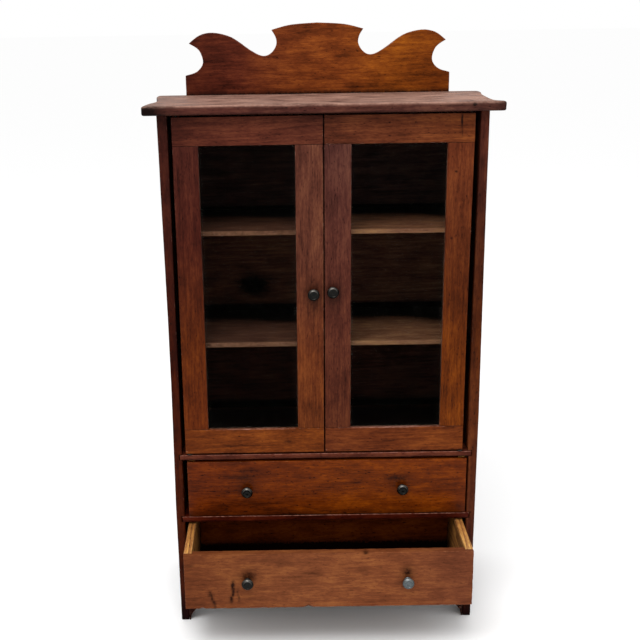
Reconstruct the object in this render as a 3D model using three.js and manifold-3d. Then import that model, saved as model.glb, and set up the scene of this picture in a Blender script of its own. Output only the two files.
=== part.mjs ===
// A miniature two-door glazed bookcase with two drawers, in millimetres.
// +Z is up, the front faces -Y, and the origin is on the floor under the middle of the whole object,
// with the lower drawer standing open.
import * as THREE from 'three';
import { mergeVertices } from 'three/addons/utils/BufferGeometryUtils.js';
import Module from 'manifold-3d';

const wasm = await Module();
wasm.setup();

// ---- driving dimensions: x across, y back from the front edges of the sides, z up from the floor ----
const GAP = 0.3; // between two pieces that touch
const CASE_HALF_WIDTH = 150;
const SIDE_THICKNESS = 7.5;
const SIDE_DEPTH = 129;
const SIDE_TOP = 519.2;
const HOUSING_DEPTH = 2.8; // grooves in the sides that hold the boards' ends

const TOP_BOARD = { bottom: 519.5, top: 528.1, front: -11, back: 136, edgeRound: 2 };
// each end's front corner, and the points of its scoop from front to back: x out from the middle, y back
const TOP_RIGHT_END = { corner: 162.5, scoop: [[162.5, -5], [156, 6], [155.8, 34], [159.5, 84], [165, 120]] };
const TOP_LEFT_END = { corner: 164, scoop: [[164, -5], [162.3, 20], [157.8, 50], [160, 86], [165, 120]] };
const TOP_BACK = { halfWidth: 165, cornerCut: 5 };
const TOP_FRONT_CORNER_CUT = 1.5;
const CREST = { thickness: 7, height: 69.8, middle: -0.9 };
const BACK_THICKNESS = 5;
const BACK_INSET = 1; // the back boards stop short of the sides' outer faces
const BACK_SEAMS = [24, 183, 297, 407, SIDE_TOP]; // edges of the back boards, hidden behind the shelves

const UPPER_SHELF = { front: 11.5, z: [405.1, 409.5] };
const LOWER_SHELF = { front: 10.5, z: [294.8, 299.5] };
const CABINET_FLOOR = { front: 0, z: [180.8, 186] };
const DRAWER_DIVIDER = { front: 0, z: [112.7, 118.6] };
const BOTTOM_BOARD = { front: 0, z: [45.5, 51] };
const HOUSED_BOARDS = [UPPER_SHELF, LOWER_SHELF, CABINET_FLOOR, DRAWER_DIVIDER, BOTTOM_BOARD];

const APRON = { thickness: 7, toe: 1.2, archHeight: 25, cove: 44 };
const SIDE_ARCH = { width: 84, height: 25, cove: 30 };

const DOOR = {
  bottom: 187.8,
  top: 517.2,
  thickness: 7,
  topRail: 26.2,
  bottomRail: 25.3,
  lapPlane: 3.9, // rails lie in front of this plane where they cross the stiles
  glassRebate: { lip: 3, reach: 3.5 },
  glassThickness: 1.6,
  pinInset: 4,
  pinDepth: 2.4, // back from the door's face
};
const LEFT_DOOR = { edges: [-138.7, -1.2], hingeStile: 23.7, meetingStile: 25.8, knob: [-10.8, 350.4] };
const RIGHT_DOOR = { edges: [137.6, 0], hingeStile: 25.1, meetingStile: 25, knob: [7.5, 352.5] };

const PIN = { radius: 1, headRadius: 1.7, headHeight: 0.6, sides: 16, intoDoor: 12 };
const PIN_HEAD_SUNK = { top: 0.7, bottom: 0.2 }; // below the top board's face, inside the cabinet floor
const COUNTERBORE = { top: 1.5, bottom: 1.2 };
const PIN_HOLE = { running: 1.1, fixed: 1.35, head: 2.1 };
const WASHER = { radius: 3, thickness: 1.2 };

const DRAWER = { frontThickness: 8, sideThickness: 7.6, backThickness: 7, bottomThickness: 2.7, length: 108 };
const FRONT_REBATE = 4; // how far a drawer side runs into its front
const DRAWER_BACK_DROP = 3; // the back's top edge lies this far below the sides'
const UPPER_DRAWER = {
  x: [-138, 141],
  front: [119.4, 178.2],
  rest: DRAWER_DIVIDER.z[1],
  knobs: [[-78.7, 146.8], [76.9, 147.5]],
};
const LOWER_DRAWER = {
  x: [-139, 139],
  front: [52, 110.2],
  rest: BOTTOM_BOARD.z[1],
  knobs: [[-78, 81.1], [76.2, 79.5]],
};
const LOWER_DRAWER_OPEN = 62;
const STOP_BLOCK = { halfWidth: 30, height: 14 };

const KNOB = { height: 7.5, tailRadius: 1.5, tail: 5, holeRadius: 1.85, sides: 16 };
// radius and height above the wood, from the base to the middle of the hollowed face
const KNOB_PROFILE = [
  [3.8, 0.3], [4, 0.9], [3.2, 1.6], [2.6, 2.6], [2.9, 3.6], [4.8, 4.4], [5.6, 5], [5.7, 5.7],
  [5.2, 6.6], [4.5, 7.3], [4.1, 7.5], [3.7, 7.3], [3.2, 6.9], [1.8, 6.8], [0.7, 7], [0, 7.1],
];

const material = (color, roughness, metalness = 0) =>
  new THREE.MeshStandardMaterial({ color, roughness, metalness });
const STAINED = material('#4a1f14', 0.5);
const DOOR_WOOD = material('#5a2a18', 0.5);
const DRAWER_FACE = material('#6b3a20', 0.5);
const DARK_INSIDE = material('#2a1510', 0.8);
const RAW_PINE = material('#b98550', 0.75);
const PATINATED = material('#2c2a28', 0.45, 0.9);
const STEEL = material('#4d4a48', 0.5, 0.9);
const GLASS = new THREE.MeshStandardMaterial({
  color: '#b9c6cc', roughness: 0.05, transparent: true, opacity: 0.35,
});

// ---- solids ----
function toSolid(geometry) {
  const bare = geometry.clone();
  bare.deleteAttribute('normal');
  bare.deleteAttribute('uv');
  const merged = mergeVertices(bare, 1e-4);
  return new wasm.Manifold(new wasm.Mesh({
    numProp: 3,
    vertProperties: Float32Array.from(merged.attributes.position.array),
    triVerts: Uint32Array.from(merged.index.array),
  }));
}

function toGeometry(solid) {
  const mesh = solid.getMesh();
  const geometry = new THREE.BufferGeometry();
  geometry.setAttribute('position', new THREE.BufferAttribute(mesh.vertProperties, 3));
  geometry.setIndex(new THREE.BufferAttribute(mesh.triVerts, 1));
  geometry.computeVertexNormals();
  return geometry;
}

function cutAway(geometry, cutters) {
  let solid = toSolid(geometry);
  for (const cutter of cutters) solid = solid.subtract(toSolid(cutter));
  return toGeometry(solid);
}

// A block between two ends on each axis.
function block(x, y, z) {
  const [[x0, x1], [y0, y1], [z0, z1]] = [x, y, z].map((ends) => [...ends].sort((a, b) => a - b));
  const box = new THREE.BoxGeometry(x1 - x0, y1 - y0, z1 - z0);
  return box.translate((x0 + x1) / 2, (y0 + y1) / 2, (z0 + z1) / 2);
}

// A round bar along +Z through (x, y), between two heights.
function bar(x, y, [bottom, top], radius, sides = PIN.sides) {
  const geometry = new THREE.CylinderGeometry(radius, radius, top - bottom, sides);
  return geometry.rotateX(Math.PI / 2).translate(x, y, (bottom + top) / 2);
}

// A round bar that points back (+Y) into the wood from the face at y.
function backwardBar(x, [front, back], z, radius) {
  const geometry = new THREE.CylinderGeometry(radius, radius, back - front, KNOB.sides);
  return geometry.translate(x, (front + back) / 2, z);
}

// The opening between two feet: a quarter-ellipse cove at each end and a straight head between them.
function archShape(width, height, cove) {
  const half = width / 2;
  const shape = new THREE.Shape();
  shape.moveTo(-half, -1);
  shape.lineTo(-half, 0);
  shape.absellipse(-half + cove, 0, cove, height, Math.PI, Math.PI / 2, true);
  shape.absellipse(half - cove, 0, cove, height, Math.PI / 2, 0, true);
  shape.lineTo(half, -1);
  return shape;
}

function piece(group, name, geometry, finish) {
  geometry.computeBoundingBox();
  const centre = geometry.boundingBox.getCenter(new THREE.Vector3());
  geometry.translate(-centre.x, -centre.y, -centre.z);
  const mesh = new THREE.Mesh(geometry, finish);
  mesh.name = name;
  mesh.position.copy(centre);
  group.add(mesh);
}

// ---- carcass ----
function makeSide(group, name, hand) {
  const outer = hand * CASE_HALF_WIDTH;
  const inner = hand * (CASE_HALF_WIDTH - SIDE_THICKNESS);
  const grooveEnd = inner + hand * HOUSING_DEPTH;
  const grooves = HOUSED_BOARDS.map(({ front, z }) => block(
    [inner - hand, grooveEnd],
    [front > 0 ? front - GAP : -1, SIDE_DEPTH + 1],
    [z[0] - GAP, z[1] + GAP],
  ));
  const arch = new THREE.ExtrudeGeometry(
    archShape(SIDE_ARCH.width, SIDE_ARCH.height, SIDE_ARCH.cove),
    { depth: SIDE_THICKNESS + 2, bevelEnabled: false, curveSegments: 14 },
  );
  arch.rotateX(Math.PI / 2).rotateZ(Math.PI / 2);
  arch.translate(Math.min(inner, outer) - 1, SIDE_DEPTH / 2, 0);
  const plank = block([inner, outer], [0, SIDE_DEPTH], [0, SIDE_TOP]);
  piece(group, name, cutAway(plank, [arch, ...grooves]), STAINED);
}

// Half of the top board's outline, from the front corner round the scooped end to the back corner.
function topEnd({ corner, scoop }) {
  const curve = new THREE.SplineCurve(scoop.map(([x, y]) => new THREE.Vector2(x, y)));
  const { halfWidth, cornerCut } = TOP_BACK;
  const cornerDip = cornerCut * (1 - Math.SQRT1_2); // how far a round corner lies inside a square one
  return [
    new THREE.Vector2(corner - TOP_FRONT_CORNER_CUT, TOP_BOARD.front),
    new THREE.Vector2(corner, TOP_BOARD.front + TOP_FRONT_CORNER_CUT),
    ...curve.getPoints(14),
    new THREE.Vector2(halfWidth, TOP_BOARD.back - cornerCut),
    new THREE.Vector2(halfWidth - cornerDip, TOP_BOARD.back - cornerDip),
    new THREE.Vector2(halfWidth - cornerCut, TOP_BOARD.back),
  ];
}

function makeTopBoard(group, pins) {
  const outline = new THREE.Shape([
    ...topEnd(TOP_RIGHT_END),
    ...topEnd(TOP_LEFT_END).reverse().map(({ x, y }) => new THREE.Vector2(-x, y)),
  ]);
  const round = TOP_BOARD.edgeRound;
  const thickness = TOP_BOARD.top - TOP_BOARD.bottom;
  const plank = new THREE.ExtrudeGeometry(outline, {
    depth: thickness - 2 * round,
    bevelThickness: round,
    bevelSize: round,
    bevelOffset: -round,
    bevelSegments: 4,
  });
  plank.translate(0, 0, TOP_BOARD.bottom + round);
  const holes = pins.flatMap(({ x, y }) => [
    bar(x, y, [TOP_BOARD.bottom - 1, TOP_BOARD.top + 1], PIN_HOLE.fixed),
    bar(x, y, [TOP_BOARD.top - COUNTERBORE.top, TOP_BOARD.top + 1], PIN_HOLE.head),
  ]);
  piece(group, 'top_board', cutAway(plank, holes), STAINED);
}

// The fretted crest: each half has a square end, a hooked notch, a hump, a second hook and the middle arch.
function crestShape() {
  const curves = [
    [[134.6, 19.5], [123, 23.2], [116.5, 32], [120, 44], [130.2, 51.1]],
    [
      [130.2, 51.1], [119, 59], [105.2, 61.3], [86.8, 56.6], [68.6, 44.2], [58.5, 38.7],
      [51.5, 38.2], [45.3, 42.3], [41.6, 49], [42.3, 56], [46.5, 63.2],
    ],
    [[46.5, 63.2], [27, 68], [0, CREST.height]],
  ];
  const half = [new THREE.Vector2(134.6, 0)];
  for (const points of curves) {
    const curve = new THREE.SplineCurve(points.map(([x, z]) => new THREE.Vector2(x, z)));
    half.push(...curve.getPoints(4 * (points.length - 1)).slice(half.length > 1 ? 1 : 0));
  }
  const otherHalf = half.slice(0, -1).reverse().map(({ x, y }) => new THREE.Vector2(-x, y));
  return new THREE.Shape([...half, ...otherHalf]);
}

function makeCrest(group) {
  const crest = new THREE.ExtrudeGeometry(crestShape(), { depth: CREST.thickness, bevelEnabled: false });
  crest.rotateX(Math.PI / 2).translate(CREST.middle, TOP_BOARD.back, TOP_BOARD.top + GAP);
  piece(group, 'crest_board', crest, STAINED);
}

function makeApron(group) {
  const halfWidth = CASE_HALF_WIDTH - SIDE_THICKNESS - GAP;
  const plank = block([-halfWidth, halfWidth], [0, APRON.thickness], [0, BOTTOM_BOARD.z[0] - GAP]);
  const arch = new THREE.ExtrudeGeometry(
    archShape(2 * (halfWidth - APRON.toe), APRON.archHeight, APRON.cove),
    { depth: APRON.thickness + 2, bevelEnabled: false, curveSegments: 16 },
  );
  arch.rotateX(Math.PI / 2).translate(0, APRON.thickness + 1, 0);
  piece(group, 'front_apron', cutAway(plank, [arch]), STAINED);
}

function makeBackBoards(group) {
  const names = ['bottom_back_board', 'lower_back_board', 'middle_back_board', 'upper_back_board'];
  const depth = [SIDE_DEPTH + GAP, SIDE_DEPTH + GAP + BACK_THICKNESS];
  const halfWidth = CASE_HALF_WIDTH - BACK_INSET;
  names.forEach((name, i) => {
    const heights = [BACK_SEAMS[i] + GAP / 2, BACK_SEAMS[i + 1] - GAP / 2];
    piece(group, name, block([-halfWidth, halfWidth], depth, heights), DARK_INSIDE);
  });
}

function makeHousedBoard(group, name, { front, z }, finish, cutters = []) {
  const halfWidth = CASE_HALF_WIDTH - SIDE_THICKNESS + HOUSING_DEPTH - GAP;
  const plank = block([-halfWidth, halfWidth], [front, SIDE_DEPTH - GAP], z);
  piece(group, name, cutters.length ? cutAway(plank, cutters) : plank, finish);
}

// A nail that the door turns on: a shank with a small flat head at one end.
function makePin(group, name, { x, y }, tip, headEnd) {
  const neck = headEnd - Math.sign(headEnd - tip) * PIN.headHeight;
  const profile = [
    [0, tip],
    [PIN.radius, tip],
    [PIN.radius, neck],
    [PIN.headRadius, neck],
    [PIN.headRadius, headEnd],
    [0, headEnd],
  ];
  if (headEnd < tip) profile.reverse();
  const pin = new THREE.LatheGeometry(profile.map(([r, h]) => new THREE.Vector2(r, h)), PIN.sides);
  pin.rotateX(Math.PI / 2).translate(x, y, 0);
  piece(group, name, pin, STEEL);
}

function makeWasher(group, name, { x, y }) {
  const bottom = CABINET_FLOOR.z[1] + GAP;
  const top = bottom + WASHER.thickness;
  const hole = bar(x, y, [bottom - 1, top + 1], PIN_HOLE.fixed);
  piece(group, name, cutAway(bar(x, y, [bottom, top], WASHER.radius), [hole]), STEEL);
}

function makeStopBlock(group, name, rest) {
  const width = [-STOP_BLOCK.halfWidth, STOP_BLOCK.halfWidth];
  const depth = [DRAWER.length + GAP, SIDE_DEPTH];
  const heights = [rest + GAP, rest + STOP_BLOCK.height];
  piece(group, name, block(width, depth, heights), RAW_PINE);
}

// ---- knobs ----
function makeKnob(group, name, x, face, z) {
  const tail = [[0, -KNOB.tail], [KNOB.tailRadius, -KNOB.tail], [KNOB.tailRadius, GAP]];
  const profile = [...tail, ...KNOB_PROFILE].map(([r, h]) => new THREE.Vector2(r, h));
  const knob = new THREE.LatheGeometry(profile, KNOB.sides);
  knob.rotateX(Math.PI).translate(x, face, z);
  piece(group, name, knob, PATINATED);
}

const knobHole = (x, face, z) => backwardBar(x, [face - 1, face + KNOB.tail + GAP], z, KNOB.holeRadius);

// ---- doors ----
const doorPin = (door) => ({
  x: door.edges[0] + Math.sign(door.edges[1] - door.edges[0]) * DOOR.pinInset,
  y: DOOR.pinDepth,
});

// One glazing bead: a quarter-round strip between two points along X or Z, tight in a corner of the rebate.
function makeBead(group, name, along, ends, corner, inward) {
  const width = DOOR.glassRebate.reach - 2 * GAP;
  const depth = DOOR.thickness - DOOR.glassRebate.lip - DOOR.glassThickness - 2 * GAP;
  const section = new THREE.Shape();
  section.moveTo(0, 0);
  section.lineTo(width, 0);
  section.absellipse(0, 0, width, depth, 0, Math.PI / 2, false);
  const length = Math.abs(ends[1] - ends[0]);
  const bead = new THREE.ExtrudeGeometry(section, { depth: length, bevelEnabled: false, curveSegments: 4 });
  const back = DOOR.thickness - depth;
  const frame = new THREE.Matrix4();
  const reach = along === 'x' ? new THREE.Vector3(0, 0, inward) : new THREE.Vector3(inward, 0, 0);
  const deep = new THREE.Vector3(0, 1, 0);
  const run = new THREE.Vector3().crossVectors(reach, deep);
  frame.makeBasis(reach, deep, run);
  bead.applyMatrix4(frame);
  const start = (run.x + run.z > 0) ? Math.min(...ends) : Math.max(...ends);
  if (along === 'x') bead.translate(start, back, corner);
  else bead.translate(corner, back, start);
  piece(group, name, bead, DOOR_WOOD);
}

function makeDoor(group, name, door) {
  const [outer, meeting] = door.edges;
  const inward = Math.sign(meeting - outer);
  const pin = doorPin(door);
  const { lip, reach } = DOOR.glassRebate;
  const sight = {
    outer: outer + inward * door.hingeStile,
    meeting: meeting - inward * door.meetingStile,
    bottom: DOOR.bottom + DOOR.bottomRail,
    top: DOOR.top - DOOR.topRail,
  };
  const full = [0, DOOR.thickness];
  const rebate = block(
    [sight.outer - inward * reach, sight.meeting + inward * reach],
    [lip, DOOR.thickness + 1],
    [sight.bottom - reach, sight.top + reach],
  );

  // the rails cover the stiles at the front of each corner, and the stiles run full height behind them
  const behindLap = [DOOR.lapPlane - GAP / 2, DOOR.thickness + 1];
  const beforeLap = [-1, DOOR.lapPlane + GAP / 2];
  const railEnds = (z) => [
    block([outer - inward, sight.outer + inward * GAP / 2], behindLap, z),
    block([meeting + inward, sight.meeting - inward * GAP / 2], behindLap, z),
  ];
  const pinHole = bar(pin.x, pin.y, [DOOR.top - PIN.intoDoor - 1, DOOR.top + 1], PIN_HOLE.running);
  const lowerPinHole = bar(pin.x, pin.y, [DOOR.bottom - 1, DOOR.bottom + PIN.intoDoor + 1], PIN_HOLE.running);
  const topRail = block([outer, meeting], full, [sight.top, DOOR.top]);
  const topCuts = railEnds([sight.top - 1, DOOR.top + 1]);
  piece(group, `${name}_top_rail`, cutAway(topRail, [...topCuts, rebate, pinHole]), DOOR_WOOD);
  const bottomRail = block([outer, meeting], full, [DOOR.bottom, sight.bottom]);
  const bottomCuts = railEnds([DOOR.bottom - 1, sight.bottom + 1]);
  piece(group, `${name}_bottom_rail`, cutAway(bottomRail, [...bottomCuts, rebate, lowerPinHole]), DOOR_WOOD);

  const across = [outer - inward, meeting + inward];
  const stileEnds = [
    block(across, beforeLap, [sight.top - GAP / 2, DOOR.top + 1]),
    block(across, beforeLap, [DOOR.bottom - 1, sight.bottom + GAP / 2]),
  ];
  const hingeStile = block([outer, sight.outer - inward * GAP / 2], full, [DOOR.bottom, DOOR.top]);
  piece(group, `${name}_hinge_stile`, cutAway(hingeStile, [...stileEnds, rebate]), DOOR_WOOD);
  const meetingStile = block([meeting, sight.meeting + inward * GAP / 2], full, [DOOR.bottom, DOOR.top]);
  const [knobX, knobZ] = door.knob;
  const meetingCuts = [...stileEnds, rebate, knobHole(knobX, 0, knobZ)];
  piece(group, `${name}_meeting_stile`, cutAway(meetingStile, meetingCuts), DOOR_WOOD);

  const glassEdge = reach - GAP;
  piece(group, `${name}_glass`, block(
    [sight.outer - inward * glassEdge, sight.meeting + inward * glassEdge],
    [lip + GAP, lip + GAP + DOOR.glassThickness],
    [sight.bottom - glassEdge, sight.top + glassEdge],
  ), GLASS);

  const acrossEnds = [sight.outer - inward * glassEdge, sight.meeting + inward * glassEdge];
  makeBead(group, `${name}_top_bead`, 'x', acrossEnds, sight.top + glassEdge, -1);
  makeBead(group, `${name}_bottom_bead`, 'x', acrossEnds, sight.bottom - glassEdge, 1);
  const uprightEnds = [sight.bottom + GAP, sight.top - GAP];
  makeBead(group, `${name}_hinge_bead`, 'z', uprightEnds, acrossEnds[0], inward);
  makeBead(group, `${name}_meeting_bead`, 'z', uprightEnds, acrossEnds[1], -inward);
  makeKnob(group, `${name}_knob`, knobX, 0, knobZ);
}

// ---- drawers ----
function makeDrawer(group, name, drawer) {
  const [left, right] = drawer.x;
  const [frontBottom, frontTop] = drawer.front;
  const { frontThickness, sideThickness, backThickness, bottomThickness, length } = DRAWER;
  const underside = drawer.rest + GAP;
  const wallBottom = underside + bottomThickness + GAP;
  const sideStart = frontThickness - FRONT_REBATE + GAP;

  const front = block([left, right], [0, frontThickness], drawer.front);
  const rebates = [[left - 1, left + sideThickness + GAP], [right + 1, right - sideThickness - GAP]];
  piece(group, `${name}_front`, cutAway(front, [
    ...rebates.map((x) => block(x, [sideStart - GAP, frontThickness + 1], [frontBottom - 1, frontTop + 1])),
    ...drawer.knobs.map(([x, z]) => knobHole(x, 0, z)),
  ]), DRAWER_FACE);

  const walls = [wallBottom, frontTop];
  const sideDepth = [sideStart, length];
  const leftSide = block([left, left + sideThickness], sideDepth, walls);
  const rightSide = block([right - sideThickness, right], sideDepth, walls);
  const between = [left + sideThickness + GAP, right - sideThickness - GAP];
  const backWalls = [wallBottom, frontTop - DRAWER_BACK_DROP];
  const back = block(between, [length - backThickness, length], backWalls);
  const bottomHeights = [underside, underside + bottomThickness];
  const bottom = block([left, right], [frontThickness + GAP, length], bottomHeights);
  piece(group, `${name}_left_side`, leftSide, RAW_PINE);
  piece(group, `${name}_right_side`, rightSide, RAW_PINE);
  piece(group, `${name}_back`, back, STAINED);
  piece(group, `${name}_bottom`, bottom, RAW_PINE);
  ['left', 'right'].forEach((hand, i) => {
    const [x, z] = drawer.knobs[i];
    makeKnob(group, `${name}_${hand}_knob`, x, 0, z);
  });
}

// ---- assembly ----
const leftPin = doorPin(LEFT_DOOR);
const rightPin = doorPin(RIGHT_DOOR);

const carcass = new THREE.Group();
makeSide(carcass, 'left_side', -1);
makeSide(carcass, 'right_side', 1);
makeTopBoard(carcass, [leftPin, rightPin]);
makeCrest(carcass);
makeBackBoards(carcass);
makeHousedBoard(carcass, 'upper_shelf', UPPER_SHELF, DARK_INSIDE);
makeHousedBoard(carcass, 'lower_shelf', LOWER_SHELF, DARK_INSIDE);
makeHousedBoard(carcass, 'cabinet_floor', CABINET_FLOOR, STAINED, [leftPin, rightPin].flatMap(({ x, y }) => [
  bar(x, y, [CABINET_FLOOR.z[0] - 1, CABINET_FLOOR.z[1] + 1], PIN_HOLE.fixed),
  bar(x, y, [CABINET_FLOOR.z[0] - 1, CABINET_FLOOR.z[0] + COUNTERBORE.bottom], PIN_HOLE.head),
]));
makeHousedBoard(carcass, 'drawer_divider', DRAWER_DIVIDER, STAINED);
makeHousedBoard(carcass, 'bottom_board', BOTTOM_BOARD, STAINED);
makeApron(carcass);
makeStopBlock(carcass, 'upper_drawer_stop', UPPER_DRAWER.rest);
makeStopBlock(carcass, 'lower_drawer_stop', LOWER_DRAWER.rest);
for (const [name, pin] of [['left', leftPin], ['right', rightPin]]) {
  const topHead = TOP_BOARD.top - PIN_HEAD_SUNK.top;
  const bottomHead = CABINET_FLOOR.z[0] + PIN_HEAD_SUNK.bottom;
  makePin(carcass, `${name}_door_top_pin`, pin, DOOR.top - PIN.intoDoor, topHead);
  makePin(carcass, `${name}_door_bottom_pin`, pin, DOOR.bottom + PIN.intoDoor, bottomHead);
  makeWasher(carcass, `${name}_door_washer`, pin);
}

const leftDoor = new THREE.Group();
makeDoor(leftDoor, 'left_door', LEFT_DOOR);
const rightDoor = new THREE.Group();
makeDoor(rightDoor, 'right_door', RIGHT_DOOR);

const upperDrawer = new THREE.Group();
makeDrawer(upperDrawer, 'upper_drawer', UPPER_DRAWER);
const lowerDrawer = new THREE.Group();
makeDrawer(lowerDrawer, 'lower_drawer', LOWER_DRAWER);
lowerDrawer.position.y = -LOWER_DRAWER_OPEN;

const bookcase = new THREE.Group();
bookcase.name = 'miniature_bookcase';
bookcase.add(carcass, leftDoor, rightDoor, upperDrawer, lowerDrawer);
const foremost = -LOWER_DRAWER_OPEN - KNOB.height;
bookcase.position.y = -(foremost + TOP_BOARD.back) / 2;

export default bookcase;
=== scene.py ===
# A miniature two-door glazed bookcase of old stained hardwood, with its lower drawer standing open.
# Shapes are worked in millimetres in the row frame, and turned to metres as each piece is made.
import math
import random

import bmesh
import bpy
import numpy as np
from mathutils import Matrix, Vector, noise


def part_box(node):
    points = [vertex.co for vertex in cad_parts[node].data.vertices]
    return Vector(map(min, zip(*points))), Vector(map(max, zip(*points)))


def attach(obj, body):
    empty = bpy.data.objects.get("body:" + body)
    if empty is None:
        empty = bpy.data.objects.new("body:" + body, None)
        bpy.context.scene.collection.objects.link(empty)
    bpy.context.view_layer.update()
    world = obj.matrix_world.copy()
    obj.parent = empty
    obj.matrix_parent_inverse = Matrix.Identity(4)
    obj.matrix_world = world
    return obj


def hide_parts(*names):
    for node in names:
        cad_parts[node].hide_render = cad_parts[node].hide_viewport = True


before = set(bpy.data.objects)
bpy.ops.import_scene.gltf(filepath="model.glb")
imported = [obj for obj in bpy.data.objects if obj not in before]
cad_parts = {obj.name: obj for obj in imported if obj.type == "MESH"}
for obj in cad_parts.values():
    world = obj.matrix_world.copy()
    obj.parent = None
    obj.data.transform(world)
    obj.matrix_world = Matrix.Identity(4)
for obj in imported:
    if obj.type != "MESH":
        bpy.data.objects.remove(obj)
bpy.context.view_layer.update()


# ---- the two sides ----
# Each side is one sawn hardwood board that runs from the floor to the top, with an arch cut in its
# foot. It was planed by hand, stained dark red-brown and shellacked, and its front arris is rubbed.
MM_PER_M = 1000
chance = random.Random(11)
AXIS_ORDER = {"x": (0, 1, 2), "y": (1, 0, 2), "z": (2, 0, 1)}  # along the grain, across it, through it
SHARP_CORNER = math.radians(35)
FLAT_WITHIN = math.radians(0.5)
SHORTEST_ARRIS_MM = 1.2
WELD_MM = 0.005
FARTHEST_MM = 40  # wear from an arris is not worked out beyond this
WARP_WIDTH_MM = 45  # how wide a hollow left by the plane or by shrinking is
NIBBLE_WIDTH_MM = 5  # how long a worn bite in an arris is, and how far it reaches in
NIBBLE_REACH_MM = 0.8


def box_mm(node):
    low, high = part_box(node)
    return np.array(low) * MM_PER_M, np.array(high) * MM_PER_M


def eased_shape(node, arris, spacing, details, stays_sharp):
    """A board at its CAD shape with worn-round arrises, cut into a fine grid. Returns it and its arrises."""
    shape = bmesh.new()
    shape.from_mesh(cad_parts[node].data)
    bmesh.ops.scale(shape, vec=(MM_PER_M,) * 3, verts=shape.verts)
    bmesh.ops.remove_doubles(shape, verts=shape.verts, dist=WELD_MM)
    bmesh.ops.dissolve_limit(shape, angle_limit=FLAT_WITHIN, verts=shape.verts, edges=shape.edges)
    arrises = []
    for edge in shape.edges:
        middle = (edge.verts[0].co + edge.verts[1].co) / 2
        outward = edge.is_convex and edge.calc_face_angle(0) > SHARP_CORNER
        if outward and edge.calc_length() > SHORTEST_ARRIS_MM and not stays_sharp(middle):
            arrises.append(edge)
    lines = np.array([[edge.verts[0].co, edge.verts[1].co] for edge in arrises])
    bmesh.ops.bevel(
        shape, geom=arrises, offset=arris, offset_type="OFFSET", segments=3, profile=0.5,
        affect="EDGES", clamp_overlap=False,
    )
    corners = np.array([vertex.co for vertex in shape.verts])
    low, high = corners.min(0), corners.max(0)
    for axis in range(3):
        steps = max(1, round((high[axis] - low[axis]) / spacing))
        cuts = list(np.linspace(low[axis], high[axis], steps + 1)[1:-1])
        cuts += [cut for cut in details[axis] if low[axis] < cut < high[axis]]
        for cut in sorted(cuts):
            place = Vector()
            place[axis] = cut
            direction = Vector()
            direction[axis] = 1
            everything = shape.verts[:] + shape.edges[:] + shape.faces[:]
            bmesh.ops.bisect_plane(
                shape, geom=everything, dist=WELD_MM / 10, plane_co=place, plane_no=direction
            )
    return shape, lines


def distance_to(lines, points):
    """How far each point lies from the nearest of the lines."""
    nearest = np.full(len(points), float(FARTHEST_MM))
    for start, end in lines:
        along = end - start
        share = np.clip((points - start) @ along / (along @ along), 0, 1)
        nearest = np.minimum(nearest, np.linalg.norm(points - start - share[:, None] * along, axis=1))
    return nearest


def field(points, scale, seed):
    """Smooth random numbers from -1 to 1 over the points, with features about scale wide."""
    shift = Vector((seed * 17.3, seed * 5.1, seed * 9.7))
    return np.array([noise.noise(Vector(point) / scale + shift) for point in points])


def finished(name, shape, points, layers, stain, grain, body, material, stands_for):
    """Turns a worked shape into a Blender object that rides on its body."""
    mesh = bpy.data.meshes.new(name)
    shape.to_mesh(mesh)
    shape.free()
    mesh.vertices.foreach_set("co", (points / MM_PER_M).ravel())
    for layer, values in layers.items():
        mesh.attributes.new(layer, "FLOAT", "POINT").data.foreach_set("value", values)
    mesh.attributes.new("stain", "FLOAT_COLOR", "POINT").data.foreach_set("color", stain.ravel())
    mesh.attributes.new("grain", "FLOAT_VECTOR", "POINT").data.foreach_set("vector", grain.ravel())
    mesh.shade_smooth()
    mesh.set_sharp_from_angle(angle=math.radians(40))
    mesh.materials.append(material)
    made = bpy.data.objects.new(name, mesh)
    bpy.context.scene.collection.objects.link(made)
    flatness = made.modifiers.new("flat faces", "WEIGHTED_NORMAL")
    flatness.keep_sharp = True
    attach(made, body)
    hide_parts(*stands_for)
    return made


def linear(colour):
    """A linear colour from its sRGB hex value."""
    parts = [int(colour[place:place + 2], 16) / 255 for place in (1, 3, 5)]
    return [part / 12.92 if part <= 0.04045 else ((part + 0.055) / 1.055) ** 2.4 for part in parts] + [1]


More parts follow.
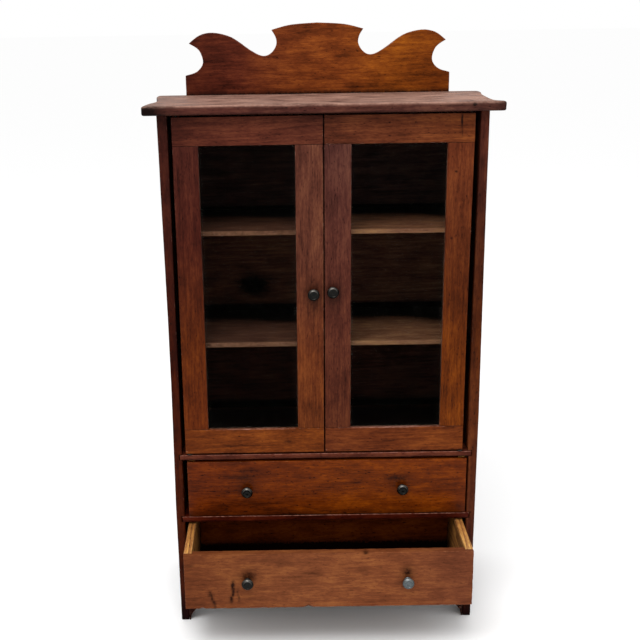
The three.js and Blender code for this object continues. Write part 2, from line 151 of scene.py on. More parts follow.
def board(
    node, body, material, along, stain, arris=0.5, spacing=4, rub=0.5, nibble=0.25, warp=0.12,
    marks=(), dents=(), bows=(), foot=0.0, stays_sharp=lambda middle: False,
):
    """One wooden board. Its stain is a list of (share of its length, colour) from its low end. A mark is
    (layer, place as shares of the board's box, reach in mm, amount), and a dent (place, reach, depth).
    A bow is a side, left -1 or right 1, and how far it stands out in mm at shares of its height. The
    foot is how far the lowest edge reaches down into the board that it stands on."""
    low, high = box_mm(node)
    size = high - low
    details = [[], [], []]
    for share, reach in [mark[1:3] for mark in marks] + [(dent[0], (dent[1],) * 3) for dent in dents]:
        for axis in range(3):
            if reach[axis] < spacing:
                middle = low[axis] + size[axis] * share[axis]
                details[axis] += [middle + reach[axis] * step for step in (-1.8, -0.9, 0, 0.9, 1.8)]
    shape, lines = eased_shape(node, arris, spacing, details, stays_sharp)
    points = np.array([vertex.co for vertex in shape.verts])
    shape.normal_update()
    outward = np.array([vertex.normal for vertex in shape.verts])
    seed = chance.uniform(0, 100)
    order = list(AXIS_ORDER[along])
    pith = (chance.uniform(0, 900), chance.choice((-1, 1)) * chance.uniform(25, 60), chance.uniform(-70, 70))
    grain = (points - (low + high) / 2)[:, order] + np.array(pith)
    edge = distance_to(lines, points)
    layers = {"tone": np.full(len(points), 0.5), "rub": np.full(len(points), float(rub)), "edge": edge}
    layers["soil"] = np.zeros(len(points))
    layers["dust"] = np.zeros(len(points))
    for layer, share, reach, amount in marks:
        offset = (points - (low + size * np.array(share))) / np.array(reach)
        layers[layer] += amount * np.exp(-(offset ** 2).sum(1))
    stops = np.array([linear(colour) for place, colour in stain])
    run = (points[:, order[0]] - low[order[0]]) / size[order[0]]
    colours = np.stack([np.interp(run, [place for place, colour in stain], stop) for stop in stops.T], 1)
    sunk = warp * (0.5 + 0.5 * field(points, WARP_WIDTH_MM, seed))
    bites = np.clip(field(points, NIBBLE_WIDTH_MM, seed + 1) + 0.25, 0, 1)
    sunk += nibble * np.exp(-edge / NIBBLE_REACH_MM) * bites
    for share, reach, depth in dents:
        offset = np.linalg.norm(points - (low + size * np.array(share)), axis=1) / reach
        sunk += depth * np.exp(-offset ** 2)
    points = np.clip(points - outward * sunk[:, None], low, high)
    height = (points[:, 2] - low[2]) / size[2]
    across = (points[:, 0] - low[0]) / size[0]
    for side, swellings in bows:
        swelling = np.interp(height, [place for place, out in swellings], [out for place, out in swellings])
        points[:, 0] += side * swelling * (across if side > 0 else 1 - across)
    points[:, 2] -= foot * np.clip(1 - (points[:, 2] - low[2]), 0, 1)
    return finished(f"{node}_worked", shape, points, layers, colours, grain, body, material, [node])


def add(tree, kind, inputs=None, **settings):
    """Adds one node. An input, by name or number, is a value or the output socket that feeds it."""
    made = tree.nodes.new(kind)
    for key, value in settings.items():
        setattr(made, key, value)
    for socket, value in (inputs or {}).items():
        if isinstance(value, bpy.types.NodeSocket):
            tree.links.new(value, made.inputs[socket])
        else:
            made.inputs[socket].default_value = value
    return made


# how much light the wood sends back, from its darkest streaks to its palest
DEPTH_SHADES = [(0.0, (0.06, 0.035, 0.03, 1)), (0.5, (0.8, 0.78, 0.78, 1)), (1.0, (1.8, 2.2, 1.8, 1))]
# share of a surface's specular level that it sends back as a veil of white in even light
VEIL = 0.087
DARKEST_STAIN = 0.0005


def weathered_wood(
    name, worn, grime_and_shade, film, roughness, streak=0.5, patch=1.2, pore=0.7, ring=0.1, ring_mm=3.2,
    fleck=0.5, scratch=0.0, worn_mm=0.7, bump_mm=0.1, specular=0.04,
):
    """Sawn wood under old finish: patches, streaks, growth rings, flecks, worn arrises, grime and painted
    shade, and dust with a painted sheen.
    """
    material = bpy.data.materials.new(name)
    material.use_nodes = True
    tree = material.node_tree
    surface = tree.nodes["Principled BSDF"]

    def layer(attribute, output="Fac"):
        return add(tree, "ShaderNodeAttribute", attribute_name=attribute).outputs[output]

    def maths(operation, first, second=0.0, third=0.0, clamp=False):
        inputs = {0: first, 1: second, 2: third}
        return add(tree, "ShaderNodeMath", inputs, operation=operation, use_clamp=clamp).outputs[0]

    def scaled(vector, by):
        return add(tree, "ShaderNodeVectorMath", {0: vector, 1: by}, operation="MULTIPLY").outputs[0]

    def cloud(stretch, width_mm, detail, turn=0.0):
        inputs = {"Vector": layer("grain", "Vector"), "Angle": turn}
        tilted = add(tree, "ShaderNodeVectorRotate", inputs, rotation_type="Y_AXIS").outputs[0]
        inputs = {"Vector": scaled(tilted, stretch), "Scale": 1 / width_mm, "Detail": detail}
        return add(tree, "ShaderNodeTexNoise", inputs | {"Roughness": 0.6}).outputs["Fac"]

    def fade(value, start, end):
        inputs = {"Value": value, "From Min": start, "From Max": end}
        return add(tree, "ShaderNodeMapRange", inputs).outputs[0]

    def mixed(share, first, second):
        inputs = {0: share, 6: first, 7: second}
        return add(tree, "ShaderNodeMix", inputs, data_type="RGBA").outputs[2]

    patches = cloud((0.4, 1, 1), 12, 5)
    streaks = cloud((0.06, 1, 1), 2.4, 5, 0.03)
    fine = cloud((0.2, 1, 1), 1.0, 4, -0.04)
    speckle = cloud((1, 1, 1), 2.6, 5)
    flecks = fade(cloud((0.35, 1, 1), 1.5, 2), 0.64, 0.72)

    # growth rings: distance from the pith, wandering by a few millimetres along the board
    radius = add(
        tree, "ShaderNodeVectorMath", {0: scaled(layer("grain", "Vector"), (0, 1, 1))}, operation="LENGTH"
    ).outputs["Value"]
    wander = maths("MULTIPLY", cloud((0.12, 1, 1), 30, 2), 26.0)
    rings = maths("FRACT", maths("DIVIDE", maths("ADD", radius, wander), ring_mm))
    late_wood = maths("POWER", rings, 2.5)

    depth = maths("MULTIPLY_ADD", maths("SUBTRACT", patches, 0.5), patch, layer("tone"))
    depth = maths("MULTIPLY_ADD", maths("SUBTRACT", streaks, 0.5), streak, depth)
    depth = maths("MULTIPLY_ADD", maths("SUBTRACT", fine, 0.5), pore, depth)
    depth = maths("MULTIPLY_ADD", maths("SUBTRACT", late_wood, 0.29), -ring, depth)
    depth = maths("MULTIPLY_ADD", flecks, -fleck, depth)
    ramp = add(tree, "ShaderNodeValToRGB", {"Fac": depth})
    ramp.color_ramp.elements.new(0.5)
    for stop, (place, shade) in zip(ramp.color_ramp.elements, DEPTH_SHADES):
        stop.position = place
        stop.color = shade
    veil = {0: layer("stain", "Color"), 1: (VEIL * specular,) * 3}
    under = add(tree, "ShaderNodeVectorMath", veil, operation="SUBTRACT").outputs[0]
    darkest = {0: under, 1: (DARKEST_STAIN,) * 3}
    under = add(tree, "ShaderNodeVectorMath", darkest, operation="MAXIMUM").outputs[0]
    colour = scaled(under, ramp.outputs["Color"])

    # the finish is rubbed through along the arrises, in broken patches
    nearness = maths("EXPONENT", maths("MULTIPLY", layer("edge"), -1 / worn_mm))
    wear = maths("MULTIPLY_ADD", nearness, layer("rub"), maths("MULTIPLY", speckle, 0.9))
    wear = fade(maths("MULTIPLY_ADD", fine, 0.5, wear), 0.98, 1.3)
    colour = mixed(maths("MULTIPLY", wear, 0.85), colour, linear(worn))
    # the soil layer darkens towards the grime colour, both for dirt and for painted shade in gaps, corners
    # and hollows
    soil = maths("MULTIPLY", layer("soil"), fade(speckle, 0.05, 0.6), clamp=True)
    colour = mixed(soil, colour, linear(grime_and_shade))
    # the dust layer lays the pale film colour on, both for dust and for a painted reflection of the sky
    film_spread = maths("MULTIPLY_ADD", streaks, 0.7, maths("MULTIPLY_ADD", speckle, 0.5, patches))
    film_spread = fade(film_spread, 0.85, 1.3)
    dust = maths("MULTIPLY", layer("dust"), film_spread, clamp=True)
    colour = mixed(dust, colour, linear(film))
    bump = maths("MULTIPLY_ADD", flecks, -0.6, maths("MULTIPLY", fine, 0.5))
    bump = maths("MULTIPLY_ADD", late_wood, 0.25, bump)
    if scratch:
        cuts = maths("ADD", fade(cloud((0.03, 1, 1), 1.1, 1, 0.5), 0.72, 0.78),
                     fade(cloud((0.05, 1, 1), 0.9, 1, -0.9), 0.74, 0.8), clamp=True)
        colour = mixed(maths("MULTIPLY", cuts, scratch), colour, linear(grime_and_shade))
        bump = maths("MULTIPLY_ADD", cuts, -1.0, bump)
    tree.links.new(colour, surface.inputs["Base Color"])
    matte = maths("MULTIPLY_ADD", maths("MAXIMUM", dust, wear), 0.3, roughness)
    matte = maths("MULTIPLY_ADD", maths("SUBTRACT", streaks, 0.5), 0.25, matte, clamp=True)
    tree.links.new(matte, surface.inputs["Roughness"])
    surface.inputs["Specular IOR Level"].default_value = specular
    relief = add(tree, "ShaderNodeBump", {"Strength": 0.6, "Distance": bump_mm / MM_PER_M, "Height": bump})
    tree.links.new(relief.outputs["Normal"], surface.inputs["Normal"])
    return material


# Walnut-like hardwood under a dark red shellac, which gives it its depth: near black in the grain,
# orange-brown where it is thin, and a pale pinkish brown where it is rubbed off.
# its pale film colour shows only on the top board, as dust with a painted reflection of the sky on it
shellacked_hardwood = weathered_wood(
    "dark shellacked hardwood", worn="#8f6253", grime_and_shade="#0d0403", film="#9b7869", roughness=0.42,
)
SIDE_STAINS = {
    "left_side": [(0, "#180805"), (0.06, "#35150a"), (0.2, "#401a0e"), (0.55, "#34140d"), (1, "#3a1c17")],
    "right_side": [
        (0, "#180906"), (0.06, "#3f1d12"), (0.22, "#472318"), (0.43, "#562a16"), (0.6, "#492211"),
        (0.84, "#3f1f17"), (1, "#52291f"),
    ],
}
# the case has moved with age: how far each side's faces stand out, in mm at shares of their height
SIDE_BOWS = {
    "left_side": [(-1, [(0, 0.4), (0.25, 1.1), (0.5, 0.1), (0.62, 0.2), (1, 1.9)])],
    "right_side": [
        (1, [(0, 0.8), (0.43, 1.2), (0.63, 0.6), (0.85, 0)]),
        (-1, [(0.35, 0), (0.37, 1.4), (0.63, 1.5), (0.85, 0.8), (1, 0.4)]),
    ],
}
# the housings that hold the shelves and rails lie above the foot arch, inside the side's outline
HOUSINGS_FROM_MM = 30
HOUSINGS_MIDDLE_MM = 31.3
HOUSINGS_REACH_MM = 64
for node, stain in SIDE_STAINS.items():
    inner_face = 1 if node == "left_side" else 0
    board(
        node, "carcass", shellacked_hardwood, "z", stain, arris=0.9, spacing=6, rub=0.4,
        marks=[
            ("soil", (0.5, 0.5, 1), (30, 90, 12), 0.5),
            # painted shade: a near-black strip down the inner face near the front, seen in the gap beside
            # the door
            ("soil", (inner_face, 0.16, 0.68), (1, 14, 130), 3),
        ],
        bows=SIDE_BOWS[node],
        stays_sharp=lambda middle: (
            middle.z > HOUSINGS_FROM_MM and abs(middle.y - HOUSINGS_MIDDLE_MM) < HOUSINGS_REACH_MM
        ),
    )


# ---- the shelves and the back ----
# Thin boards housed in the sides, and four wide back boards nailed on with their grain across. They
# were only stained, so they are matt, dark and dusty, and the shelves' front edges are rubbed bare.
dusty_hardwood = weathered_wood(
    "matt dusty hardwood", worn="#7d5342", grime_and_shade="#040201", film="#6d5a49", roughness=0.75, patch=0.8,
    streak=0.9, fleck=0.2,
)
SHELF_STAINS = {
    "upper_shelf": [(0, "#4d2f26"), (0.45, "#57352b"), (0.6, "#7c4e3b"), (1, "#80503c")],
    "lower_shelf": [(0, "#52332b"), (0.45, "#58362c"), (0.6, "#794e3b"), (1, "#7b4f3b")],
}
SHELF_HIDDEN_BEHIND_MM = -15  # behind this line no shelf edge is ever touched, so none is worn
for shelf, stain in SHELF_STAINS.items():
    board(
        shelf, "carcass", dusty_hardwood, "x", stain, arris=0.4, spacing=6, rub=0.7,
        marks=[
            ("tone", (0.5, 0, 0.5), (400, 3, 20), 0.25), ("tone", (0.8, 0, 0.5), (60, 3, 9), -0.1),
            # painted shade: the ends of each shelf's front part are near black where they sit behind the
            # dark gaps beside the doors
            ("soil", (0, 0, 0.5), (8, 40, 9), 5), ("soil", (1, 0, 0.5), (8, 40, 9), 5),
            ("soil", (0.5, 1, 0.5), (400, 30, 9), 4),
            ("soil", (0.4, 0.7, 0.5), (34, 15, 9), 1.2), ("soil", (0.93, 0.7, 0.5), (24, 22, 9), 1.2),
        ],
        stays_sharp=lambda middle: middle.y > SHELF_HIDDEN_BEHIND_MM,
    )
# a round knot in the middle board, dark at its heart, with the grain swinging round it
KNOT = [
    ("soil", (0.26, 0, 0.27), (14, 4, 10), 2.2), ("tone", (0.26, 0, 0.27), (30, 4, 16), -0.1),
    ("tone", (0.26, 0, 0.5), (26, 4, 4), 0.06), ("tone", (0.3, 0, 0.02), (28, 4, 4), 0.06),
]
BACK_STAINS = {
    "bottom_back_board": ("#3b1a0d", "#3b1a0d"), "lower_back_board": ("#371c15", "#3b211b"),
    "middle_back_board": ("#47271d", "#58362b"), "upper_back_board": ("#2f1b17", "#3a2623"),
}
# a black band along each board's lower edge, above the shelf that it meets
BLACK_BAND_MM = {
    "bottom_back_board": 4, "lower_back_board": 7, "middle_back_board": 6, "upper_back_board": 3.5,
}
for back, (left, right) in BACK_STAINS.items():
    marks = [("soil", (0.5, 0, 0), (400, 3, BLACK_BAND_MM[back]), 6)]
    board(
        back, "carcass", dusty_hardwood, "x", [(0, left), (1, right)], arris=0.3, spacing=8,
        rub=0.35, marks=marks + (KNOT if back == "middle_back_board" else []),
    )


# ---- the boards round the drawers ----
# Three full-depth boards between the sides: the cabinet floor that the doors shut above, the divider
# and the bottom board. Their front edges show, and doors and drawers have rubbed the upper arrises,
# whose pale line is also a painted highlight where the edge catches the light. Their top faces are
# painted near black behind the front, as the shade inside the cabinet and the drawer bays.
RAIL_HIDDEN_BEHIND_MM = -25  # behind this line the boards' edges lie in the housings
for rail, colour, rub in (
    ("cabinet_floor", "#562a1f", 0.65), ("drawer_divider", "#481a11", 0.7), ("bottom_board", "#2d110a", 0.3),
):
    board(
        rail, "carcass", shellacked_hardwood, "x", [(0, colour), (1, colour)], arris=0.6,
        spacing=5, rub=0.15, nibble=0.5,
        marks=[
            # the upper front arris is painted pale as wear and as a highlight, and the top face behind the
            # front is painted shade
            ("rub", (0.5, 0, 1), (400, 6, 1.6), rub), ("soil", (0.5, 0, 0), (400, 8, 1.8), 0.6),
            ("soil", (0.5, 0.64, 1), (400, 40, 2), 3),
        ],
        stays_sharp=lambda middle: middle.y > RAIL_HIDDEN_BEHIND_MM,
    )


# ---- the foot apron ----
# A board let in between the sides under the bottom board and sawn away in an arch, so that only two
# small toes reach the floor. It has the case's dark finish, blackened by dirt from the floor.
board(
    "front_apron", "carcass", shellacked_hardwood, "x", [(0, "#26100b"), (1, "#20100b")],
    arris=0.4, marks=[("soil", (0.5, 0.5, 0), (400, 20, 30), 0.5)],
)


# ---- the stop blocks ----
# Two offcuts of pine glued behind the drawers, sawn and never finished. Bare pine is pale yellow
# brown gone dull with age, with strong rings where the hard late wood stands darker.
bare_pine = weathered_wood(
    "bare aged pine", worn="#c39a6e", grime_and_shade="#2b1508", film="#8a7862", roughness=0.7, streak=0.7, patch=0.5,
    ring=0.45, ring_mm=4.5, fleck=0.3, specular=0.1,
)
for stop in ("upper_drawer_stop", "lower_drawer_stop"):
    stain = [(0, "#8a5d34"), (1, "#7d522d")]
    board(stop, "carcass", bare_pine, "x", stain, arris=0.4, spacing=6)


# ---- the top board ----
# One wide board with a rounded front edge and scooped ends, dusty and worn on its upper face, with a
# pale reflection of the sky painted over the dust there, and black with handling at its left end. A
# nail hole and a chip mark its right front edge, and painted shade darkens the crease at the crest's foot.
NAIL_HOLE = (0.906, 0, 0.72)
board(
    "top_board", "carcass", shellacked_hardwood, "x",
    [(0, "#2d1a17"), (0.12, "#4c2a24"), (0.5, "#4e2b25"), (1, "#4f3029")], arris=0.2, rub=0.2,
    marks=[
        # the dust on the upper face also carries a painted pale reflection of the sky
        ("dust", (0.5, 0.5, 1), (500, 400, 1.5), 1.0), ("dust", (0.92, 0.4, 1), (50, 50, 1.5), 0.5),
        ("rub", (0.55, 0, 0.8), (150, 6, 2), 0.55), ("rub", (0.2, 0, 0.8), (50, 6, 2), 0.4),
        ("soil", (0, 0.06, 0.35), (15, 34, 8), 2.2), ("soil", (1, 0.06, 0.5), (7, 20, 5), 1.2),
        # the second mark here is painted shade in the crease where the crest stands on the board
        ("soil", (0.5, 0.2, 0), (400, 60, 2.2), 0.7), ("soil", (0.5, 0.93, 1), (400, 6, 3), 1.1),
        ("soil", (0.43, 0.1, 1), (22, 12, 2), 0.8), ("soil", (0.72, 0.25, 1), (26, 14, 2), 0.6),
        ("soil", (0.3, 0.45, 1), (20, 14, 2), 0.5), ("soil", NAIL_HOLE, (1.5, 3, 1.5), 2.0),
        ("rub", (0.91, 0, 0.3), (7, 4, 2.4), 0.7), ("soil", (0.86, 0, 0.62), (15, 4, 1.0), 0.6),
        ("soil", (0.62, 0, 0.5), (30, 4, 1.6), 0.5), ("soil", (0.36, 0, 0.55), (24, 4, 1.6), 0.45),
    ],
    dents=[(NAIL_HOLE, 1.2, 0.8), ((0.91, 0, 0.25), 3.0, 0.5)],
)


# ---- the crest ----
# The fretted board at the back of the top, sawn out by hand, darker and redder at its left end and
# rubbed along its curved upper edge. Its grain is straighter and shows more than the case's.
straight_grained = weathered_wood(
    "straight-grained shellacked hardwood", worn="#8f6253", grime_and_shade="#0d0403", film="#9b7869", roughness=0.38,
    streak=0.7, pore=0.6, ring=0.12, fleck=0.3,
)
CREST_FOOT_MM = 529  # below this the crest stands against the top board
board(
    "crest_board", "carcass", straight_grained, "x",
    [(0, "#471f16"), (0.2, "#55261a"), (0.4, "#6b3319"), (0.6, "#753919"), (0.8, "#7d3f15"), (1, "#6a3212")],
    spacing=2, rub=0.55,
    marks=[
        # the first mark here is painted shade along the crest's foot, in the crease where it stands on the
        # top board
        ("soil", (0.5, 0, 0), (300, 20, 2.5), 1.2), ("tone", (0.6, 0, 0.35), (16, 20, 18), -0.12),
        ("tone", (0.85, 0, 0.25), (26, 20, 7), -0.22), ("tone", (0.75, 0, 0.1), (40, 20, 3), -0.2),
        ("tone", (0.3, 0, 0.5), (20, 20, 9), 0.08), ("tone", (0.13, 0, 0.35), (14, 20, 18), -0.1),
        ("tone", (0.5, 0, 0.85), (30, 20, 5), -0.08), ("tone", (0.68, 0, 0.4), (14, 20, 7), 0.1),
    ],
    foot=0.4, stays_sharp=lambda middle: middle.z < CREST_FOOT_MM,
)


# ---- the doors ----
# Each is a frame of two rails lapped over two stiles, with quarter-round beads behind that hold the
# glass. The same shellacked wood, a little more orange low down where light has faded it.
shellacked_frame = weathered_wood(
    "shellacked door wood", worn="#a17464", grime_and_shade="#0d0403", film="#8d746a", roughness=0.4, streak=0.8,
    patch=0.9, fleck=0.35,
)
DOOR_STAINS = {
    "left_door": {
        "top_rail": [(0, "#432019"), (0.5, "#562b20"), (1, "#4f281e")],
        "bottom_rail": [(0, "#602d14"), (0.5, "#6e3617"), (1, "#663115")],
        "hinge_stile": [(0, "#5f2a12"), (0.35, "#512411"), (0.65, "#421d16"), (1, "#41201b")],
        "meeting_stile": [(0, "#623118"), (0.3, "#5c2d19"), (0.6, "#573024"), (1, "#563127")],
    },
    "right_door": {
        "top_rail": [(0, "#562c1e"), (0.6, "#5e301d"), (1, "#62311b")],
        "bottom_rail": [(0, "#5e2d19"), (1, "#663117")],
        "hinge_stile": [
            (0, "#663011"), (0.3, "#622e11"), (0.5, "#542713"), (0.75, "#5c2d1a"), (1, "#5f2e1c"),
        ],
        "meeting_stile": [(0, "#4c2518"), (0.5, "#512a21"), (1, "#4b2c27")],
    },
}
# stains, rubs and a crack that belong to one place on a door
PLACE_MARKS = {
    "left_door_meeting_stile": [("tone", (0.8, 0, 0.6), (4, 5, 60), 0.08)],
    "left_door_hinge_stile": [
        ("rub", (0.95, 0, 0.8), (0.7, 3, 0.7), 1.2), ("tone", (0.2, 0, 0.7), (5, 5, 60), -0.08),
    ],
    "left_door_bottom_rail": [
        ("soil", (0.74, 0, 0.45), (4, 3, 2), 0.9), ("tone", (0.4, 0, 0.3), (50, 5, 2), -0.12),
        ("rub", (0.5, 0.1, 1), (44, 3, 1.2), 0.5),
    ],
    "right_door_bottom_rail": [("rub", (0.5, 0.1, 1), (44, 3, 1.2), 0.6)],
    "left_door_top_rail": [
        ("tone", (0.45, 0, 0.55), (30, 5, 9), 0.08), ("tone", (0, 0, 0.5), (18, 5, 20), -0.1),
    ],
    "right_door_meeting_stile": [("tone", (0.2, 0, 0.4), (4, 5, 70), -0.06)],
    "right_door_hinge_stile": [
        ("tone", (0.7, 0, 0.45), (8, 5, 55), -0.1), ("soil", (0.35, 0, 0.84), (1.3, 3, 1), 1.4),
        ("soil", (0.25, 0, 0.65), (1, 3, 1.2), 1.0),
    ],
    "right_door_top_rail": [
        ("soil", (0.91, 0, 0.8), (0.9, 3, 7), 1.5), ("soil", (0.915, 0, 0.35), (0.7, 3, 4), 0.8),
        ("tone", (0.05, 0, 0.5), (14, 5, 20), -0.1),
    ],
}
# the right door has been planed down along its hinge edge to clear the side
DOOR_BOWS = {
    "right_door_hinge_stile": [(1, [(0, -1.4), (0.35, -1.6), (0.8, -0.8), (1, -0.4)])],
    "right_door_bottom_rail": [(1, [(0, -1.4)])],
    "right_door_top_rail": [(1, [(0, -0.4)])],
}
for door, stains in DOOR_STAINS.items():
    knob_low, knob_high = box_mm(f"{door}_knob")
    stile_low, stile_high = box_mm(f"{door}_meeting_stile")
    knob_share = ((knob_low + knob_high) / 2 - stile_low) / (stile_high - stile_low)
    # finger grime round each knob, and the knob's shadow painted just below it
    knob_dirt_and_shadow = [
        ("soil", (knob_share[0], 0, knob_share[2]), (8, 5, 10), 0.8),
        ("soil", (knob_share[0], 0, knob_share[2] - 0.04), (6, 5, 12), 0.4),
    ]
    for part, stain in stains.items():
        marks = PLACE_MARKS.get(f"{door}_{part}", []) + (knob_dirt_and_shadow if part == "meeting_stile" else [])
        along = "z" if part.endswith("stile") else "x"
        board(
            f"{door}_{part}", door, shellacked_frame, along, stain, arris=0.35, rub=0.3,
            marks=marks, bows=DOOR_BOWS.get(f"{door}_{part}", ()),
        )
    for place in ("top", "bottom", "hinge", "meeting"):
        along = "z" if place in ("hinge", "meeting") else "x"
        stain = [(0, "#3a1c12"), (1, "#361a12")]
        board(
            f"{door}_{place}_bead", door, shellacked_frame, along, stain, arris=0.15, spacing=8,
        )


# ---- the door glass ----
# Old thin sheet glass, clear and slightly wavy. It lets nearly all light through untinted, and only
# a little dust and old putty, thickest round its edges, catch the eye.
GREY_FILM = "#5e5a54"
SMEAR_WIDTH_MM = 7
PUTTY_FROM_MM, PUTTY_FULL_MM = 7.0, 3.2  # distance from the pane's edges
PUTTY_SHARE = 0.04
DUST_SHARE = 0.02
old_glass = bpy.data.materials.new("old sheet glass")
old_glass.use_nodes = True
tree = old_glass.node_tree
surface = tree.nodes["Principled BSDF"]
surface.inputs["Base Color"].default_value = linear(GREY_FILM)
surface.inputs["Roughness"].default_value = 0.2
surface.inputs["Specular IOR Level"].default_value = 0.3
rim = add(tree, "ShaderNodeAttribute", attribute_name="edge").outputs["Fac"]
smear = add(tree, "ShaderNodeTexNoise", {
    "Vector": add(tree, "ShaderNodeAttribute", attribute_name="grain").outputs["Vector"],
    "Scale": 1 / SMEAR_WIDTH_MM, "Detail": 6.0, "Roughness": 0.65,
}).outputs["Fac"]
putty = add(tree, "ShaderNodeMapRange", {
    "Value": rim, "From Min": PUTTY_FROM_MM, "From Max": PUTTY_FULL_MM,
}).outputs[0]
film = add(tree, "ShaderNodeMapRange", {
    "Value": smear, "From Min": 0.4, "From Max": 0.8, "To Max": DUST_SHARE,
}).outputs[0]
share = add(tree, "ShaderNodeMath", {0: putty, 1: PUTTY_SHARE, 2: film}, operation="MULTIPLY_ADD").outputs[0]
share = add(tree, "ShaderNodeMath", {0: share, 1: smear}, operation="MULTIPLY", use_clamp=True).outputs[0]
clear = add(tree, "ShaderNodeBsdfTransparent", {"Color": linear("#f1f5f3")}).outputs[0]
mix = add(tree, "ShaderNodeMixShader", {0: share, 1: clear, 2: surface.outputs[0]})
tree.links.new(mix.outputs[0], tree.nodes["Material Output"].inputs["Surface"])
for door in DOOR_STAINS:
    tint = [(0, "#808080"), (1, "#808080")]
    board(f"{door}_glass", door, old_glass, "z", tint, arris=0.15, spacing=9, nibble=0, warp=0.1)


# ---- the knobs ----
# Small turned brass knobs with a dished face inside a rolled rim, nearly black with patina, their rims
# painted paler on the upper side as a highlight from above. One is painted a lighter cool grey, as the
# reflection of the sky that it shows.
KNOB_HEIGHT = 7.5
KNOB_PROFILE = [  # radius, and height above the wood: tail, seat, neck, rolled rim, dished face
    (0, -5), (1.5, -5), (1.5, 0.3), (3.8, 0.3), (4, 0.9), (3.2, 1.6), (2.6, 2.6), (2.9, 3.6), (4.8, 4.4),
    (5.6, 5), (5.7, 5.7), (5.2, 6.6), (4.5, 7.3), (4.1, KNOB_HEIGHT), (3.7, 7.3), (3.2, 6.9), (1.8, 6.8),
    (0.7, 7), (0, 7.1),
]
KNOB_RUBBED_SPOTS = [(5.4, 6.3), (4.2, KNOB_HEIGHT)]
CURVE_STEPS = 4


def rounded_profile(profile):
    """The profile with a smooth curve through its points, as a Catmull-Rom spline."""
    ends = [profile[0]] + list(profile) + [profile[-1]]
    curve = []
    for index in range(1, len(ends) - 2):
        before, start, end, after = (np.array(ends[index + shift]) for shift in (-1, 0, 1, 2))
        for step in range(CURVE_STEPS):
            t = step / CURVE_STEPS
            point = (
                2 * start + (end - before) * t + (2 * before - 5 * start + 4 * end - after) * t ** 2
                + (3 * start - before - 3 * end + after) * t ** 3
            ) / 2
            curve.append((max(0.0, point[0]), point[1]))
    return curve + [profile[-1]]


def turned(
    name, profile, places, forward, bright, segments, body, material, stands_for=(), painted_top_highlight=0.0,
):
    """Turned pieces: the profile spun about an axis that points forward from each place. Bright is the
    (radius, height) spots where the metal is rubbed, and the last argument is how fast that fades
    downwards, which paints a highlight from above on the upper side."""
    shape = bmesh.new()
    aim = Vector(forward).to_track_quat("Z", "Y").to_matrix()
    local = []
    for place in places:
        rings = []
        for radius, height in profile:
            count = segments if radius > 0.001 else 1
            ring = []
            for i in range(count):
                turn = 2 * math.pi * i / segments
                spot = Vector((radius * math.cos(turn), radius * math.sin(turn), height))
                local.append(spot)
                ring.append(shape.verts.new(aim @ spot + Vector(place)))
            rings.append(ring)
        for inner, outer in zip(rings, rings[1:]):
            for i in range(segments):
                corners = [
                    inner[i % len(inner)], inner[(i + 1) % len(inner)],
                    outer[(i + 1) % len(outer)], outer[i % len(outer)],
                ]
                corners = list(dict.fromkeys(corners))
                if len(corners) > 2:
                    shape.faces.new(corners)
    bmesh.ops.recalc_face_normals(shape, faces=shape.faces)
    points = np.array([vertex.co for vertex in shape.verts])
    local = np.array(local)
    spots = np.stack([np.hypot(local[:, 0], local[:, 1]), local[:, 2]], 1)
    edge = np.min([np.linalg.norm(spots - np.array(spot), axis=1) for spot in bright], axis=0)
    # painted highlight: the rubbed look is made stronger towards the top, where the light from above falls
    edge = edge + painted_top_highlight * (points[:, 2].max() - points[:, 2])
    stain = np.ones((len(points), 4))
    grain = points.copy()
    return finished(name, shape, points, {"edge": edge}, stain, grain, body, material, stands_for)


def aged_metal(name, base, rubbed, rust, rub_mm, roughness, pit_mm):
    """Metal dulled by age: a dark skin, lighter where hands rub it, with specks and small pits."""
    material = bpy.data.materials.new(name)
    material.use_nodes = True
    tree = material.node_tree
    surface = tree.nodes["Principled BSDF"]
    grain = add(tree, "ShaderNodeAttribute", attribute_name="grain").outputs["Vector"]
    edge = add(tree, "ShaderNodeAttribute", attribute_name="edge").outputs["Fac"]
    inputs = {"Vector": grain, "Scale": 1 / pit_mm, "Detail": 5.0}
    specks = add(tree, "ShaderNodeTexNoise", inputs).outputs["Fac"]
    near = add(tree, "ShaderNodeMapRange", {"Value": edge, "From Min": rub_mm, "From Max": 0.0}).outputs[0]
    worn = add(tree, "ShaderNodeMath", {0: near, 1: specks}, operation="MULTIPLY", use_clamp=True).outputs[0]
    spots = add(tree, "ShaderNodeMapRange", {"Value": specks, "From Min": 0.5, "From Max": 0.7}).outputs[0]
    inputs = {0: spots, 6: linear(base), 7: linear(rust)}
    colour = add(tree, "ShaderNodeMix", inputs, data_type="RGBA").outputs[2]
    inputs = {0: worn, 6: colour, 7: linear(rubbed)}
    colour = add(tree, "ShaderNodeMix", inputs, data_type="RGBA").outputs[2]
    tree.links.new(colour, surface.inputs["Base Color"])
    inputs = {0: specks, 1: 0.35, 2: roughness - 0.17}
    dull = add(tree, "ShaderNodeMath", inputs, operation="MULTIPLY_ADD").outputs[0]
    tree.links.new(dull, surface.inputs["Roughness"])
    surface.inputs["Metallic"].default_value = 1
    relief = add(tree, "ShaderNodeBump", {"Strength": 0.4, "Distance": 0.1 / MM_PER_M, "Height": specks})
    tree.links.new(relief.outputs["Normal"], surface.inputs["Normal"])
    return material


# brass gone nearly black, which shows as metal only on its rim, where fingers keep it bright and a highlight
# from above is painted on the upper side
patinated_brass = aged_metal(
    "patinated brass", base="#1e1d1b", rubbed="#96918a", rust="#12171a", rub_mm=1.6, roughness=0.34,
    pit_mm=1.2,
)
